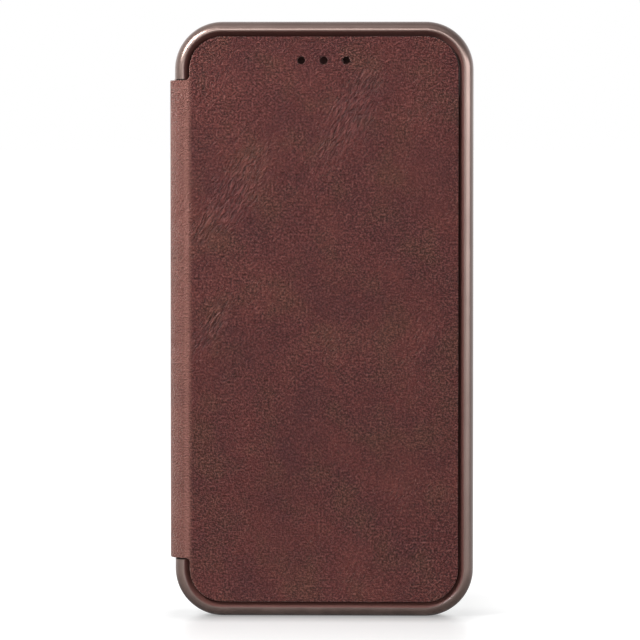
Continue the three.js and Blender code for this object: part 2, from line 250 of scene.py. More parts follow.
def flat_sheet(outline, holes, thickness, edge, steps=3):
    """A sheet lying flat, its top face at z = 0, with every edge rounded over.

    The outline and the holes are closed rings of points. Each is rounded with rings that step inwards
    from the edge on both faces, and the two faces are filled between the innermost rings."""
    profile = []
    for i in range(steps + 1):
        t = math.pi / 2 * i / steps
        profile.append((edge * (1 - math.cos(t)), -edge + edge * math.sin(t)))
    profile = [(inset, -thickness - z) for inset, z in reversed(profile)] + profile
    bm = bmesh.new()
    boundaries = {0: [], len(profile) - 1: []}
    for ring in [wound(outline, True)] + [wound(hole, False) for hole in holes]:
        loops = []
        for inset, z in profile:
            loops.append([bm.verts.new((x, y, z)) for x, y in inset_ring(ring, inset)])
        for lower, upper in zip(loops, loops[1:]):
            bridge(bm, lower, upper)
        for level, edges in boundaries.items():
            loop = loops[level]
            edges += [bm.edges.get(pair) for pair in zip(loop, loop[1:] + loop[:1])]
    for edges in boundaries.values():
        bmesh.ops.triangle_fill(bm, edges=edges, use_beauty=True)
    return bm


# ---- The hide's path round the spine -----------------------------------------------------------------
# The hide is cut flat. Its flat coordinate s runs from the free edge of the cover (negative), round the
# shoulder, which starts at s = 0, down the spine, round the heel and across the back.

SHOULDER = {"across": 4.3, "deep": 4.8}
HEEL = {"across": 3.8, "deep": 4.2}
SHOULDER_X = SPINE_X + SHOULDER["across"]
HEEL_X = SPINE_X + HEEL["across"]


def hide_path():
    """Fine points (s, x, z) of the hide's outer face, from the start of the shoulder to the heel's end."""
    fine = 160
    points = []
    for i in range(fine + 1):
        t = math.pi / 2 * (1 - i / fine)
        x = SHOULDER_X - SHOULDER["across"] * math.cos(t)
        points.append((x, FRONT - SHOULDER["deep"] + SHOULDER["deep"] * math.sin(t)))
    top, low = FRONT - SHOULDER["deep"], HEEL["deep"]
    points += [(SPINE_X, top + (low - top) * i / fine) for i in range(1, fine)]
    for i in range(fine + 1):
        t = math.pi / 2 * i / fine
        x = HEEL_X - HEEL["across"] * math.cos(t)
        points.append((x, HEEL["deep"] - HEEL["deep"] * math.sin(t)))
    path, s = [], 0.0
    for i, (x, z) in enumerate(points):
        if i:
            s += math.dist(points[i - 1], (x, z))
        path.append((s, x, z))
    return path


PATH = hide_path()
PATH_END = PATH[-1][0]


def path_s(z):
    """The flat coordinate of the level z on the way round the spine."""
    return min(PATH, key=lambda p: abs(p[2] - z))[0]


def hide_point(s, depth):
    """x and z of the point at flat coordinate s, a depth below the hide's outer face."""
    if s <= 0:
        return SHOULDER_X - s, FRONT - depth
    if s >= PATH_END:
        return HEEL_X + (s - PATH_END), depth
    low, high = 0, len(PATH) - 1
    while high - low > 1:
        middle = (low + high) // 2
        if PATH[middle][0] <= s:
            low = middle
        else:
            high = middle
    (s0, x0, z0), (s1, x1, z1) = PATH[low], PATH[high]
    share = (s - s0) / (s1 - s0)
    length = math.hypot(x1 - x0, z1 - z0)
    along = Vector(((x1 - x0) / length, (z1 - z0) / length))
    inward = Vector((-along.y, along.x))  # the path turns left round the spine
    return x0 + (x1 - x0) * share + inward.x * depth, z0 + (z1 - z0) * share + inward.y * depth


BEND_STEP = 0.3  # how finely a sheet is cut across where it bends


def mark_flat(bm, place):
    """Keeps the flat place of every corner, in metres, as the UV map "hide"."""
    uv = bm.loops.layers.uv.new("hide")
    for face in bm.faces:
        for loop in face.loops:
            loop[uv].uv = place(loop.vert.co)


def wrap(name, bm, face_depth=0.0):
    """Bends a flat sheet round the spine, its top face a depth below the hide's outer face."""
    lowest = min(v.co.x for v in bm.verts)
    highest = max(v.co.x for v in bm.verts)
    s = max(lowest, -0.6) + BEND_STEP / 2
    while s < min(highest, PATH_END + 0.6):
        geometry = bm.verts[:] + bm.edges[:] + bm.faces[:]
        bmesh.ops.bisect_plane(bm, geom=geometry, plane_co=(s, 0, 0), plane_no=(1, 0, 0), dist=1e-5)
        s += BEND_STEP
    mark_flat(bm, lambda flat: ((SHOULDER_X - flat.x + flat.z) * MM, (flat.y + flat.z) * MM))
    for vert in bm.verts:
        s, y, z = vert.co
        x, level = hide_point(s, face_depth - z)
        vert.co = (x, y, level)
    bmesh.ops.triangulate(bm, faces=[f for f in bm.faces if len(f.verts) > 4])
    return new_object(name, bm)


# ---- Materials ---------------------------------------------------------------------------------------


class Nodes:
    """A node tree, with short calls for the nodes that the materials, the floor and the world share."""

    def __init__(self, owner):
        owner.use_nodes = True
        self.owner = owner
        self.tree = owner.node_tree

    def add(self, kind, inputs=None, **settings):
        node = self.tree.nodes.new(kind)
        for key, value in settings.items():
            setattr(node, key, value)
        for key, value in (inputs or {}).items():
            if isinstance(value, bpy.types.NodeSocket):
                self.tree.links.new(value, node.inputs[key])
            else:
                node.inputs[key].default_value = value
        return node

    @property
    def shader(self):
        return self.tree.nodes["Principled BSDF"]

    def constant(self, **values):
        """Sets the shader's own sockets."""
        for key, value in values.items():
            self.shader.inputs[key.replace("_", " ")].default_value = value

    def drive(self, socket, output):
        self.tree.links.new(output, self.shader.inputs[socket])

    def flat_place(self):
        """The place on the hide as it lay flat, in metres."""
        return self.add("ShaderNodeUVMap", uv_map="hide").outputs["UV"]

    def place(self):
        return self.add("ShaderNodeTexCoord").outputs["Object"]

    def axes(self, vector):
        return self.add("ShaderNodeSeparateXYZ", {"Vector": vector}).outputs

    def vector(self, operation, a, b=(0.0, 0.0, 0.0)):
        return self.add("ShaderNodeVectorMath", {0: a, 1: b}, operation=operation).outputs["Vector"]

    def math(self, operation, a, b=0.0):
        return self.add("ShaderNodeMath", {0: a, 1: b}, operation=operation).outputs["Value"]

    def sum(self, a, b):
        return self.math("ADD", a, b)

    def product(self, a, b):
        return self.math("MULTIPLY", a, b)

    def stretched(self, vector, scale, turn=0.0):
        """A place turned in its own plane, then scaled along its axes."""
        turned = self.add("ShaderNodeMapping", {"Vector": vector, "Rotation": (0, 0, turn)})
        scaled = self.add("ShaderNodeMapping", {"Vector": turned.outputs["Vector"], "Scale": scale})
        return scaled.outputs["Vector"]

    def noise(self, vector, size, detail=3.0, roughness=0.55, distortion=0.0):
        """Noise with features of about this size, in metres."""
        inputs = {
            "Vector": vector,
            "Scale": 1 / size,
            "Detail": detail,
            "Roughness": roughness,
            "Distortion": distortion,
        }
        return self.add("ShaderNodeTexNoise", inputs).outputs["Fac"]

    def cells(self, vector, size, feature="F1"):
        inputs = {"Vector": vector, "Scale": 1 / size}
        return self.add("ShaderNodeTexVoronoi", inputs, feature=feature).outputs["Distance"]

    def ramp(self, value, stops):
        node = self.add("ShaderNodeValToRGB", {"Fac": value})
        elements = node.color_ramp.elements
        while len(elements) < len(stops):
            elements.new(0.5)
        for element, (position, colour) in zip(elements, stops):
            element.position = position
            element.color = (*colour, 1) if isinstance(colour, tuple) else (colour, colour, colour, 1)
        return node.outputs["Color"]

    def remap(self, value, low, high, to_low, to_high, smooth=False):
        inputs = {"Value": value, "From Min": low, "From Max": high, "To Min": to_low, "To Max": to_high}
        kind = "SMOOTHSTEP" if smooth else "LINEAR"
        return self.add("ShaderNodeMapRange", inputs, interpolation_type=kind).outputs["Result"]

    def mix(self, factor, a, b):
        """A plain number between two others."""
        return self.add("ShaderNodeMix", {0: factor, 2: a, 3: b}, data_type="FLOAT").outputs[0]

    def blend(self, factor, a, b):
        """A colour between two others."""
        node = self.add("ShaderNodeMix", data_type="RGBA")
        for socket, value in (("Factor", factor), ("A", a), ("B", b)):
            target = next(s for s in node.inputs if s.name == socket and s.enabled)
            if isinstance(value, bpy.types.NodeSocket):
                self.tree.links.new(value, target)
            else:
                target.default_value = value
        return next(s for s in node.outputs if s.enabled)

    def bump(self, height, distance, strength=1.0, normal=None):
        """Relief of this height, in metres, where the height input goes from 0 to 1."""
        inputs = {"Height": height, "Distance": distance, "Strength": strength}
        if normal:
            inputs["Normal"] = normal
        return self.add("ShaderNodeBump", inputs).outputs["Normal"]


def material(name):
    return Nodes(bpy.data.materials.new(name))


def wrinkled(n, at, folds):
    """How creased the leather is, from 0 to 1: faint patches here and there, and the given folds."""
    amount = n.remap(n.noise(at, 0.016), 0.5, 0.7, 0.0, 0.45, smooth=True)
    for x, y, across, along, turn in folds:
        moved = n.vector("SUBTRACT", at, (x * MM, y * MM, 0.0))
        local = n.stretched(moved, (1 / (along * MM), 1 / (across * MM), 0.0), math.radians(-turn))
        reach = n.add("ShaderNodeVectorMath", {0: local}, operation="LENGTH").outputs["Value"]
        ragged = n.sum(reach, n.product(n.noise(at, 0.006), 0.8))
        amount = n.math("MAXIMUM", amount, n.remap(ragged, 0.6, 1.5, 1.0, 0.0, smooth=True))
    return amount


def stretch_and_highlight_paleness(n, at, start, end):
    """How much paler the hide is painted where it is pulled round the spine, between two places, in
    millimetres: partly the paleness of stretched leather, partly a painted highlight on the shoulder, with a
    brighter painted highlight line near the shoulder's start.
    """
    x = n.axes(at)["X"]
    pulled = n.product(n.remap(x, (start - 0.1) * MM, (start + 1.5) * MM, 1.0, 0.0, smooth=True),
                       n.remap(x, (end - 0.8) * MM, (end + 0.8) * MM, 0.0, 1.0, smooth=True))
    highlight_line = n.remap(n.sum(x, (0.2 - start) * MM), -0.8 * MM, 0.8 * MM, -1.0, 1.0)
    highlight_line = n.remap(n.product(highlight_line, highlight_line), 0.0, 1.0, 0.35, 0.0, smooth=True)
    uneven = n.remap(n.noise(at, 0.007), 0.3, 0.7, 0.55, 0.85)
    return n.sum(n.product(pulled, uneven), highlight_line)


# lighter colour for the grain's peaks: partly worn tips, partly painted highlights
RUBBED_AND_GLINT_RED = (0.2, 0.082, 0.07, 1)
# paler colour for the shoulder: partly stretched leather, partly painted highlight
PALE_AND_HIGHLIGHT_RED = (0.2, 0.082, 0.066, 1)


def leather(name, dark, mid, light, worn, folds=(), bend=None):
    """Smooth satin leather: a fine pebbled grain, an uneven dye, and slanting creases in the given places.
    The grain's valleys are darkened and its peaks lightened, partly its own tone and partly as painted shade
    and painted highlights.

    Each fold is (x, y, across, along, turn), in millimetres and degrees: a soft patch of fine creases, whose
    lines are darkened as painted shade.
    The bend is the stretch of flat x, in millimetres, where the hide is pulled round the spine; there its
    colour is made paler, partly as stretched leather and partly as a painted highlight on the shoulder."""
    n = material(name)
    at = n.flat_place()
    warp = n.add("ShaderNodeTexNoise", {"Vector": at, "Scale": 1 / 0.0018, "Detail": 3.0})
    shift = n.vector("SUBTRACT", warp.outputs["Color"], (0.5, 0.5, 0.5))
    bent = n.vector("ADD", at, n.vector("MULTIPLY", shift, (0.0011, 0.0011, 0.0)))

    beads = n.remap(n.cells(bent, 0.00075), 0.0, 0.7, 1.0, 0.0)
    pores = n.remap(n.noise(at, 0.00048, detail=1.5, roughness=0.7), 0.36, 0.64, 0.0, 1.0)
    grain = n.sum(n.product(beads, 0.25), n.product(pores, 0.75))

    slanted = n.stretched(bent, (0.2, 1.0, 1.0), math.radians(-60))
    strokes = n.remap(n.noise(slanted, 0.0005, detail=2.0, roughness=0.6), 0.39, 0.61, 0.0, 1.0)
    lines = n.remap(n.cells(slanted, 0.00135, "DISTANCE_TO_EDGE"), 0.0, 0.11, 1.0, 0.0, smooth=True)
    amount = wrinkled(n, at, folds)
    creases = n.product(lines, amount)
    streaked = n.mix(n.product(amount, 0.7), grain, strokes)
    contrast = n.remap(n.noise(at, 0.022), 0.35, 0.65, 0.55, 1.0)
    tone = n.mix(contrast, 0.5, streaked)

    dye = n.ramp(n.noise(at, 0.015, detail=4.0, roughness=0.62), [(0.32, dark), (0.5, mid), (0.7, light)])
    faded = n.remap(n.noise(at, 0.011, detail=2.0), 0.45, 0.7, 0.0, 0.6, smooth=True)
    dye = n.blend(faded, dye, (*worn, 1))
    # the grain's valleys darkened and its peaks lightened: partly the grain's own tone, partly painted shade
    # in the valleys and painted light on the peaks
    shade = n.remap(tone, 0.1, 0.8, 0.35, 1.4)
    colour = n.add("ShaderNodeVectorMath", {0: dye, "Scale": shade}, operation="SCALE").outputs["Vector"]
    if bend:
        # the shoulder painted paler: partly stretched leather, partly painted highlight, with a painted
        # highlight line
        pale = n.product(stretch_and_highlight_paleness(n, at, *bend), n.remap(tone, 0.1, 0.8, 0.75, 1.15))
        colour = n.blend(pale, colour, PALE_AND_HIGHLIGHT_RED)
    # the grain's peaks lightened: partly worn tips, partly painted highlights
    colour = n.blend(n.remap(tone, 0.5, 0.9, 0.0, 0.5), colour, RUBBED_AND_GLINT_RED)
    # the crease lines darkened as painted shade
    colour = n.blend(n.product(creases, 0.4), colour, (*dark, 1))
    n.drive("Base Color", colour)
    n.drive("Roughness", n.remap(grain, 0.3, 0.8, 0.62, 0.45))
    normal = n.bump(streaked, 0.0004)
    normal = n.bump(creases, -0.0002, normal=normal)
    n.drive("Normal", n.bump(n.noise(at, 0.006), 0.00022, normal=normal))
    n.constant(Specular_IOR_Level=0.22)
    n.constant(Sheen_Weight=0.3, Sheen_Roughness=0.35, Sheen_Tint=(1.0, 0.8, 0.72, 1.0))
    return n.owner


def bronze_lacquer():
    """Satin metallic lacquer on the outside of the rim, and the dark plastic under it on the inside. Towards
    the end that the case stands on, the lacquer is worn dull, and its colour is darkened and made less
    metallic as painted shade.
    """
    n = material("bronze_lacquer")
    at = n.place()
    painted = n.add("ShaderNodeAttribute", attribute_name="painted").outputs["Fac"]
    flake = n.remap(n.noise(at, 0.00012, detail=1.0), 0.5, 0.8, 0.0, 1.0)
    cloud = n.noise(at, 0.012, detail=3.0)
    tint = n.ramp(cloud, [(0.3, (0.24, 0.165, 0.145)), (0.7, (0.29, 0.205, 0.18))])
    tint = n.blend(n.product(flake, 0.25), tint, (0.4, 0.31, 0.28, 1))

    # worn dull towards the end that the case stands on; the darker, less metallic colour there is painted
    # shade
    dull_and_shaded = n.add("ShaderNodeAttribute", attribute_name="dull_and_shaded").outputs["Fac"]
    dull_and_shaded = n.product(dull_and_shaded, n.remap(n.noise(at, 0.004, detail=4.0), 0.3, 0.6, 0.85, 1.0))
    tint = n.blend(dull_and_shaded, tint, (0.062, 0.037, 0.03, 1))

    specks = n.noise(at, 0.0005, detail=3.0)
    plastic = n.ramp(specks, [(0.3, (0.075, 0.027, 0.022)), (0.7, (0.095, 0.036, 0.03))])
    n.drive("Base Color", n.blend(painted, plastic, tint))
    smear = n.noise(n.stretched(at, (1.0, 1.0, 0.2)), 0.0022, detail=3.0)
    gloss = n.remap(n.sum(smear, n.product(flake, 0.4)), 0.3, 1.1, 0.28, 0.38)
    gloss = n.mix(dull_and_shaded, gloss, 0.6)
    n.drive("Roughness", n.mix(painted, 0.55, gloss))
    n.drive("Metallic", n.product(painted, n.remap(dull_and_shaded, 0.0, 1.0, 0.75, 0.0)))
    n.drive("Normal", n.bump(n.noise(at, 0.0016, detail=2.0), 0.00001, 0.5))
    n.constant(Coat_Weight=0.25, Coat_Roughness=0.2, Specular_IOR_Level=0.4)
    return n.owner


def suede():
    """Microfibre suede: a short nap brushed unevenly, with a soft sheen."""
    n = material("suede_lining")
    at = n.place()
    nap = n.noise(n.stretched(at, (1.0, 0.4, 1.0), 0.5), 0.00022, detail=3.0)
    brushed = n.noise(n.stretched(at, (1.0, 0.35, 1.0), -0.3), 0.011, detail=4.0, distortion=0.6)
    colour = n.ramp(brushed, [(0.35, (0.032, 0.014, 0.012)), (0.65, (0.055, 0.026, 0.022))])
    colour = n.blend(n.product(n.remap(nap, 0.4, 0.7, 0.0, 1.0), 0.4), colour, (0.09, 0.048, 0.04, 1))
    n.drive("Base Color", colour)
    n.drive("Roughness", n.remap(nap, 0.3, 0.7, 0.85, 0.98))
    n.drive("Normal", n.bump(nap, 0.00008, 0.6))
    n.constant(Sheen_Weight=0.45, Sheen_Roughness=0.5, Specular_IOR_Level=0.2)
    return n.owner


def fibre_board():
    n = material("stiffener_board")
    at = n.place()
    fibres = n.noise(n.stretched(at, (1.0, 1.0, 0.15)), 0.0007, detail=5.0)
    n.drive("Base Color", n.ramp(fibres, [(0.3, (0.02, 0.019, 0.018)), (0.7, (0.06, 0.057, 0.054))]))
    n.drive("Roughness", n.remap(fibres, 0.3, 0.7, 0.7, 0.9))
    n.drive("Normal", n.bump(fibres, 0.00005, 0.5))
    return n.owner


def bare_metal(name, dark, light, roughness, grain):
    """Rolled or plated metal, with a fine lengthways grain."""
    n = material(name)
    at = n.place()
    lines = n.noise(n.stretched(at, (1.0, 1.0, 0.06)), grain, detail=4.0)
    n.drive("Base Color", n.ramp(lines, [(0.3, dark), (0.7, light)]))
    n.drive("Roughness", n.remap(lines, 0.3, 0.7, roughness - 0.06, roughness + 0.08))
    n.drive("Normal", n.bump(lines, 0.00001, 0.4))
    n.constant(Metallic=1.0)
    return n.owner


def sewing_thread():
    """Waxed twisted thread."""
    n = material("sewing_thread")
    at = n.place()
    slanted = n.stretched(at, (1, 1, 1), 0.7)
    wave = n.add("ShaderNodeTexWave", {"Vector": slanted, "Scale": 900.0, "Distortion": 1.5})
    twist = wave.outputs["Fac"]
    n.drive("Base Color", n.ramp(twist, [(0.2, (0.09, 0.042, 0.034)), (0.8, (0.2, 0.11, 0.09))]))
    n.drive("Roughness", n.remap(twist, 0.0, 1.0, 0.7, 0.5))
    n.drive("Normal", n.bump(twist, 0.00004, 0.8))
    n.constant(Sheen_Weight=0.2)
    return n.owner


# ---- Tray --------------------------------------------------------------------------------------------

LIP_INSET = COVER_INSET - GAP
HEEL_ROUND = {"inset": 2.8, "z": 3.0, "low": 0.1}
BROW_ROUND = {"inset": 1.95, "z": 8.4}
CAMERA = {"x": 19.5, "y": 60.3, "length": 24.0, "height": 12.0}
COLLAR = 1.2  # width of the raised ring round the camera opening
PORTS = ((0, 12.5, 6), (20, 15, 5), (-20, 12, 5))  # middle, length and height, in the bottom edge
SIDE_KEY = {"y": 36, "length": 15, "height": 5}
VOLUME_KEYS = {"y": (18, 52), "z": 3.6}
RIDGE = 0.65  # radius of the ridge's inner side
NOTCH = 1.0  # radius of the cover's inner corners beside the spine
RECESS_INSET = 4.0  # from the rim's outline to the recess for the back hide
DULL_AND_SHADED_TOP = -HALF_HEIGHT + 16  # the lacquer is worn dull on the end that the case stands on, and its colour is darkened there as painted shade
DULL_AND_SHADED_FADE = 12
PAINT_END = 2.2  # how far the lacquer reaches in from the rim's outline, over the ridge
PAINT_END_LOW = 1.8  # the same, below the lip
PAINT_FADE = 0.3


def tray_rings():
    """Section of the tray as (inset, z): recess in the back, heel, side, brow, ridge, lip and seat."""
    steps = 18
    heel, brow = HEEL_ROUND, BROW_ROUND
    rings = [(RECESS_INSET, LEATHER + GLUE), (3.92, 0.42)]
    rings += arc(3.7, 0.32, 0.22, 0, -90, 4)
    for i in range(steps + 1):
        t = math.pi / 2 * (1 - i / steps)
        level = heel["z"] - (heel["z"] - heel["low"]) * math.sin(t)
        rings.append((heel["inset"] * (1 - math.cos(t)), level))
    for i in range(steps + 1):
        t = math.pi / 2 * i / steps
        rings.append((brow["inset"] * (1 - math.cos(t)), brow["z"] + (FRONT - brow["z"]) * math.sin(t)))
    rings += arc(brow["inset"], FRONT - RIDGE, RIDGE, 80, 38, 7)
    rings += [(LIP_INSET - 0.1, 10.5), (LIP_INSET - 0.03, 10.36), (LIP_INSET, 10.2)]
    rings += arc(LIP_INSET - 0.15, LIP_UNDER + 0.15, 0.15, 0, -90, 3)
    rings += [(WALL, LIP_UNDER), (WALL, SEAT + 0.3), (WALL + 0.09, SEAT + 0.09), (WALL + 0.3, SEAT)]
    return rings


def quarter_ellipse(centre_x, centre_z, across, deep, steps):
    """Points from the flat back face round to the side, for the land under the heel."""
    angles = [math.pi / 2 * (1 - i / steps) for i in range(steps + 1)]
    return [(centre_x - across * math.cos(t), centre_z - deep * math.sin(t)) for t in angles]


def wall_under_spine():
    """The low wall behind the spine: a land that the heel is glued to, then a wall with a round top."""
    fold = fold_line("spine_fold")[1]
    face, top, inner = -HALF_WIDTH + 0.15, 8.7, -HALF_WIDTH + WALL
    under = LEATHER + GLUE
    points = [(CHANNEL_EDGE, SEAT), (CHANNEL_EDGE, under)]
    points += quarter_ellipse(HEEL_X, HEEL["deep"], HEEL["across"] - under, HEEL["deep"] - under, 14)
    points += [(SPINE_X + under, fold - 0.25), (SPINE_X + under + 0.15, fold - 0.1), (face, fold - 0.1)]
    angles = [math.pi / 2 * i / 8 for i in range(9)]
    points += [(face + 0.9 * (1 - math.cos(t)), top - 1.0 + math.sin(t)) for t in angles]
    points += [(inner - 0.3, top), (inner, top - 0.3), (inner, SEAT)]
    return prism("wall", points, -CHANNEL_HALF, CHANNEL_HALF, "y")


def rim_end_rounding(side):
    """Takes the inner corner off one cut end of the rim."""
    radius = NOTCH - GAP
    x, y = -COVER_EDGE - NOTCH, SPINE_HALF + NOTCH
    points = arc(x, y, radius, 0, -90, 10)
    points += [(x, y - radius - 0.2), (x + radius + 0.2, y - radius - 0.2), (x + radius + 0.2, y)]
    return prism("rounding", [(a, side * b) for a, b in points], LIP_UNDER, FRONT + 1)


def make_tray():
    tray = swept("tray_body", tray_rings())
    channel = box("channel", (-40, -CHANNEL_HALF, -1), (CHANNEL_EDGE, CHANNEL_HALF, FRONT + 1))
    combine(tray, channel, "DIFFERENCE")
    combine(tray, wall_under_spine(), "UNION")
    for side in (1, -1):
        combine(tray, rim_end_rounding(side), "DIFFERENCE")
    rings = ((COLLAR - 0.2, 0.02), (COLLAR, 0.2), (COLLAR, SEAT - 0.1))
    combine(tray, lofted("collar", [(camera_slot(grow), z) for grow, z in rings]), "UNION")
    rings = ((0.3, -1), (0.3, 0.02), (0, 0.3), (0, SEAT + 1))
    combine(tray, lofted("camera", [(camera_slot(grow), z) for grow, z in rings]), "DIFFERENCE")
    for x, length, height in PORTS:
        outline = slot(x, PHONE_MIDDLE, length, height)
        combine(tray, prism("port", outline, -HALF_HEIGHT - 2, -HALF_HEIGHT + 4, "y"), "DIFFERENCE")
    outline = slot(SIDE_KEY["y"], PHONE_MIDDLE, SIDE_KEY["length"], SIDE_KEY["height"])
    combine(tray, prism("key", outline, HALF_WIDTH - 4, HALF_WIDTH + 2, "x"), "DIFFERENCE")
    low, high = VOLUME_KEYS["y"]
    volume = box("volume", (-40, low, VOLUME_KEYS["z"]), (-HALF_WIDTH + WALL + 0.5, high, FRONT))
    combine(tray, volume, "DIFFERENCE")
    room = 0.1
    for row in ROWS:
        low, high = (STAND.inverted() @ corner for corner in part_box(row + "_keeper"))
        pocket = box("pocket", (low.x - room, min(low.y, high.y) - room, LIP_UNDER - 0.05),
                     (high.x + room, max(low.y, high.y) + room, max(low.z, high.z) + room))
        combine(tray, pocket, "DIFFERENCE")
    bm = bmesh.new()
    bm.from_mesh(tray.data)
    bmesh.ops.remove_doubles(bm, verts=bm.verts, dist=0.03)
    bmesh.ops.dissolve_limit(bm, angle_limit=math.radians(0.5), verts=bm.verts, edges=bm.edges)
    bm.to_mesh(tray.data)
    bm.free()
    mark_paint(tray)
    return stand_up(tray)


def camera_slot(grow):
    """The camera opening's outline, grown by a distance."""
    length, height = CAMERA["length"] + 2 * grow, CAMERA["height"] + 2 * grow
    return slot(CAMERA["x"], CAMERA["y"], length, height, 24)


def rim_inset(x, y):
    """How far a point is inside the rim's outline."""
    dx = abs(x) - (HALF_WIDTH - CORNER)
    dy = abs(y) - (HALF_HEIGHT - CORNER)
    return CORNER - (math.hypot(dx, dy) if dx > 0 and dy > 0 else max(dx, dy))


def mark_paint(tray):
    """Marks where the lacquer reaches: round the outside and over the ridge, and not inside the lip. Also
    marks how near a point is to the end that the case stands on, where the lacquer is worn dull and its
    colour is darkened as painted shade.
    """
    paint = tray.data.attributes.new("painted", "FLOAT", "POINT")
    dull_and_shaded_layer = tray.data.attributes.new("dull_and_shaded", "FLOAT", "POINT")
    for vert, value, dull_and_shaded_value in zip(tray.data.vertices, paint.data, dull_and_shaded_layer.data):
        x, y, z = vert.co
        inset = rim_inset(x, y)
        inner = PAINT_END if z > LIP_UNDER else PAINT_END_LOW
        value.value = min(1.0, max(0.0, (inner - inset) / PAINT_FADE + 0.5))
        dull_and_shaded_value.value = min(1.0, max(0.0, (DULL_AND_SHADED_TOP - y) / DULL_AND_SHADED_FADE))


# ---- Hide and lining ---------------------------------------------------------------------------------

TURNED_EDGE = 0.2  # how far the hide stands past the stiff part of the cover
SEAM_Z = 5.9  # level on the spine where the front and back pieces of the hide meet
LINING_END_Z = 4.65  # level on the spine where the lining ends
LINING_INSET = 0.8  # from the stiff cover's edge to the lining's, laid flat
STRIP_START_X = -31.2  # where the lining's strip for the spine leaves the pan
SPEAKER = {"radius": 0.93, "pitch": 5.38, "y": HALF_HEIGHT - 9.33}


def flat_s(x):
    """The flat coordinate of a point on the cover."""
    return SHOULDER_X - x


def cover_outline(inset, spine_half, s_end, notch):
    """The cover's outline laid flat, as (s, y): free edge, round corners, and the strip for the spine."""
    radius = CORNER - COVER_INSET - inset
    free, hinge = flat_s(COVER_EDGE - inset), flat_s(-COVER_EDGE + inset)
    top = HALF_HEIGHT - COVER_INSET - inset
    upper = arc(free + radius, top - radius, radius, 180, 90, 14)
    upper += arc(hinge - radius, top - radius, radius, 90, 0, 14)
    upper += arc(hinge + notch, spine_half + notch, notch, 180, 270, 8)
    upper += [(s_end, spine_half)]
    return upper + [(s, -y) for s, y in reversed(upper)]


def speaker_holes(radius):
    places = [flat_s(column * SPEAKER["pitch"]) for column in (-1, 0, 1)]
    return [arc(s, SPEAKER["y"], radius, 0, -352, 22) for s in places]


def front_outline():
    return cover_outline(-TURNED_EDGE, SPINE_HALF, path_s(SEAM_Z), NOTCH)


def make_front_hide():
    bm = flat_sheet(front_outline(), speaker_holes(SPEAKER["radius"]), LEATHER, 0.22, 3)
    return stand_up(wrap("front_hide", bm), 50)


def lining_outline():
    return cover_outline(LINING_INSET, SPINE_HALF, path_s(LINING_END_Z), NOTCH)


def make_lining():
    """The suede pan that holds the board, and its strip round the inside of the shoulder and spine."""
    top, under = FRONT - LEATHER - GLUE, FRONT - LEATHER - GLUE - LINING
    board_top = top - BOARD - GLUE
    floor = board_top - LINING
    outside = [(6.15, floor), (6.0, floor + 0.03), (5.5, under - 0.03), (5.4, under)]
    flange = [(4.4, under), (4.3, under + 0.1), (4.3, top - 0.1), (4.4, top)]
    inside = [(5.82, top), (5.95, top - 0.06), (6.22, board_top + 0.05), (6.3, board_top)]
    pan = swept("lining", outside + flange + inside)
    start, end = flat_s(STRIP_START_X), path_s(LINING_END_Z)
    outline = [(start, -SPINE_HALF), (end, -SPINE_HALF), (end, SPINE_HALF), (start, SPINE_HALF)]
    strip = wrap("strip", flat_sheet(outline, [], LINING - 0.02, 0.1, 2), LEATHER + GLUE + 0.01)
    combine(pan, strip, "UNION")
    for column in (-1, 0, 1):
        hole = arc(column * SPEAKER["pitch"], SPEAKER["y"], SPEAKER["radius"] + 0.05, 0, 345, 23)
        combine(pan, prism("hole", hole, FRONT - 4, FRONT), "DIFFERENCE")
    return stand_up(pan, 50)


POCKET = {"half": 29.3, "bottom": -64.8, "top": 14.0, "corner": 5.0, "notch": 9.0, "thick": 0.45}
POCKET_FACE = (MIDDLE.y - pocket_high.y) / MM  # level of the face that the phone sees
SEAM_INSET = 1.2
STITCH = {"pitch": 2.6, "length": 1.85, "radius": 0.17}


def pocket_outline():
    half, bottom, top, corner = POCKET["half"], POCKET["bottom"], POCKET["top"], POCKET["corner"]
    notch = POCKET["notch"]
    rim = 1.2  # radius of the corners along the top
    outline = arc(notch + rim, top - rim, rim, 90, 180, 6)
    outline += arc(0, top - rim, notch, 0, -180, 28)
    outline += arc(-notch - rim, top - rim, rim, 0, 90, 6)
    outline += arc(-half + rim, top - rim, rim, 90, 180, 6)
    outline += arc(-half + corner, bottom + corner, corner, 180, 270, 12)
    outline += arc(half - corner, bottom + corner, corner, 270, 360, 12)
    return outline + arc(half - rim, top - rim, rim, 0, 90, 6)


def make_pocket():
    """The card pocket: a leather panel with a thumb notch."""
    bm = flat_sheet(pocket_outline(), [], POCKET["thick"], 0.12, 2)
    bmesh.ops.translate(bm, verts=bm.verts, vec=(0, 0, POCKET_FACE + POCKET["thick"]))
    mark_flat(bm, lambda flat: (flat.x * MM, flat.y * MM))
    bmesh.ops.triangulate(bm, faces=[f for f in bm.faces if len(f.verts) > 4])
    return stand_up(new_object("card_panel", bm), 50)


def seam_path():
    """Points along the pocket's seam: down one side, round the bottom and up the other."""
    side = POCKET["half"] - SEAM_INSET
    radius = POCKET["corner"] - SEAM_INSET
    low = POCKET["bottom"] + SEAM_INSET + radius
    points = [(-side, POCKET["top"] - 1.4)]
    points += arc(-side + radius, low, radius, 180, 270, 12)
    points += arc(side - radius, low, radius, 270, 360, 12)
    return points + [(side, POCKET["top"] - 1.4)]


def point_along(points, distance):
    """The point and direction at a distance along a path."""
    for a, b in zip(points, points[1:]):
        length = math.dist(a, b)
        if distance <= length:
            t = distance / length
            return Vector((a[0] + (b[0] - a[0]) * t, a[1] + (b[1] - a[1]) * t)), Vector(b) - Vector(a)
        distance -= length
    return Vector(points[-1]), Vector(points[-1]) - Vector(points[-2])


